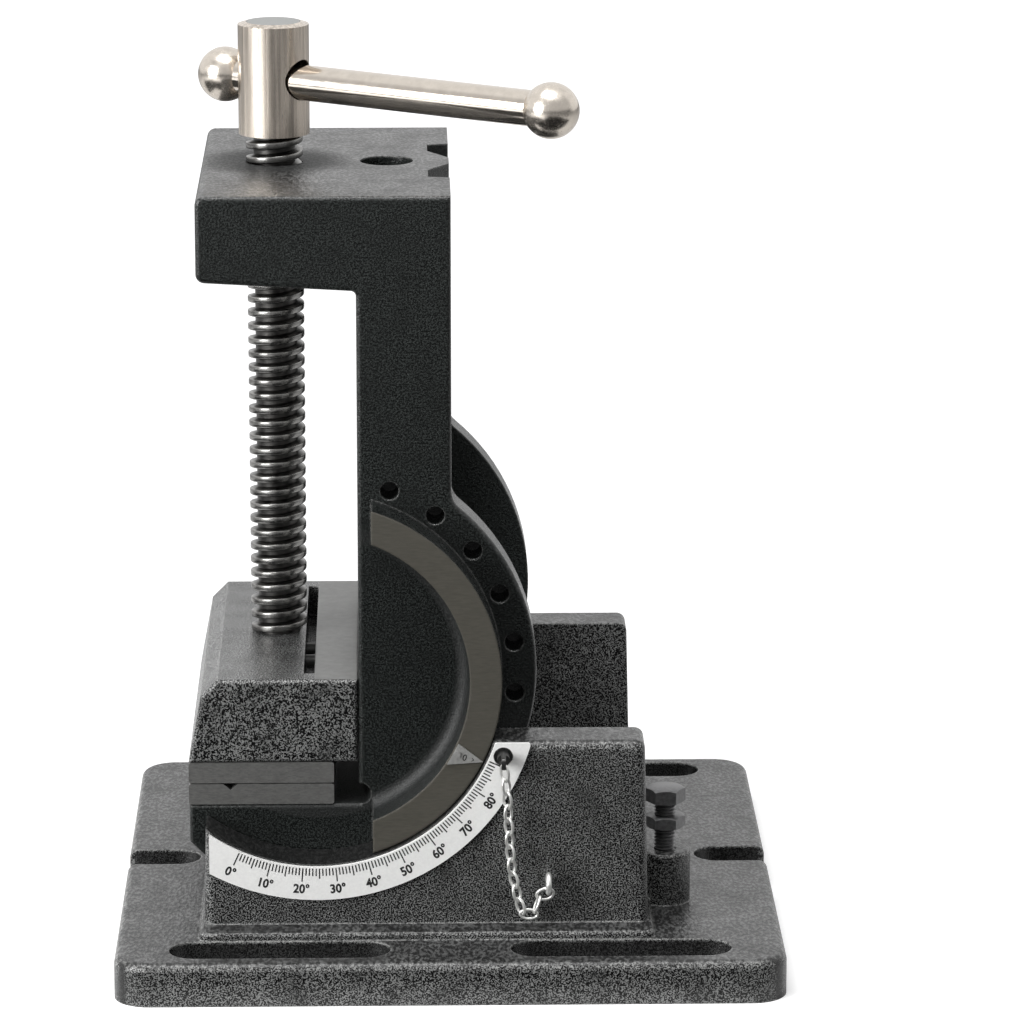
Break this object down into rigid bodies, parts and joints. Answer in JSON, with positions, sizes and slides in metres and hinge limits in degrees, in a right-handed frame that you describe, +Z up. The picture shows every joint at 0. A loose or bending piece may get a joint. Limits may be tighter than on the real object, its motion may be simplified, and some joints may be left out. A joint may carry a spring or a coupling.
{
  "type": "tilting drill press vise",
  "caption": "Screw vise whose body tilts from upright to level in a slotted cast base with an angle scale, a chained lock pin and a stop bolt.",
  "frame": {"origin": "centre of the base underside, on the drill press table", "axes": "+X to the right, towards the side that the body is laid down to; +Y away from the scale side; +Z up, along the screw when the scale reads 90 degrees"},
  "size_m": [0.185, 0.197, 0.2564],
  "materials": {
    "hammer_paint": "speckled dark grey hammer paint on cast iron",
    "ground_steel": "ground bare steel",
    "oiled_steel": "dark oiled thread",
    "nickel_plate": "bright nickel plate",
    "satin_aluminium": "satin, with black marks on the scale",
    "black_oxide": "black oxide",
    "bright_zinc": "bright zinc plate"
  },
  "bodies": {
    "base": {"base_casting": "hammer_paint", "angle_scale": "satin_aluminium", "chain_eye": "bright_zinc", "chain_links": "bright_zinc"},
    "lock_pin": {"lock_pin": "bright_zinc"},
    "stop_bolt": {"stop_bolt": "black_oxide"},
    "jam_nut": {"jam_nut": "black_oxide"},
    "body": {"vise_body": "hammer_paint", "fixed_jaw_plate": "ground_steel", "fixed_plate_screws": "black_oxide", "tilt_pointer": "satin_aluminium", "pointer_rivet": "bright_zinc"},
    "jaw": {"moving_jaw": "hammer_paint", "moving_jaw_plate": "ground_steel", "moving_plate_screws": "black_oxide", "jaw_keeper": "ground_steel", "keeper_screws": "black_oxide", "screw_retainers": "ground_steel"},
    "screw": {"vise_screw": "oiled_steel", "screw_hub": "nickel_plate"},
    "handle": {"handle_bar": "nickel_plate", "handle_ball_front": "nickel_plate", "handle_ball_rear": "nickel_plate"}
  },
  "joints": [
    {"name": "body_tilt", "type": "hinge", "parent": "base", "child": "body", "pos_m": [-0.0366, 0, 0.083], "axis": [0, 1, 0], "range_deg": [0, 90]},
    {"name": "jaw_slide", "type": "slide", "parent": "body", "child": "jaw", "axis": [0, 0, 1], "range_m": [0, 0.1]},
    {"name": "screw_turn", "type": "hinge", "parent": "jaw", "child": "screw", "pos_m": [-0.0481, 0, 0.083], "axis": [0, 0, 1], "range_deg": [0, 9001]},
    {"name": "handle_slide", "type": "slide", "parent": "screw", "child": "handle", "axis": [-0.8192, 0.5736, 0], "range_m": [0, 0.0763]},
    {"name": "lock_pin_slide", "type": "slide", "parent": "base", "child": "lock_pin", "axis": [0, -1, 0], "range_m": [-0.006, 0.016], "deforming": ["chain_links"]},
    {"name": "stop_bolt_height", "type": "slide", "parent": "base", "child": "stop_bolt", "axis": [0, 0, 1], "range_m": [-0.004, 0]},
    {"name": "jam_nut_height", "type": "slide", "parent": "base", "child": "jam_nut", "axis": [0, 0, 1], "range_m": [-0.0063, 0]}
  ],
  "couplings": [
    {"joint": "screw_turn", "follows": "jaw_slide", "rad_per_m": 1570.8}
  ]
}
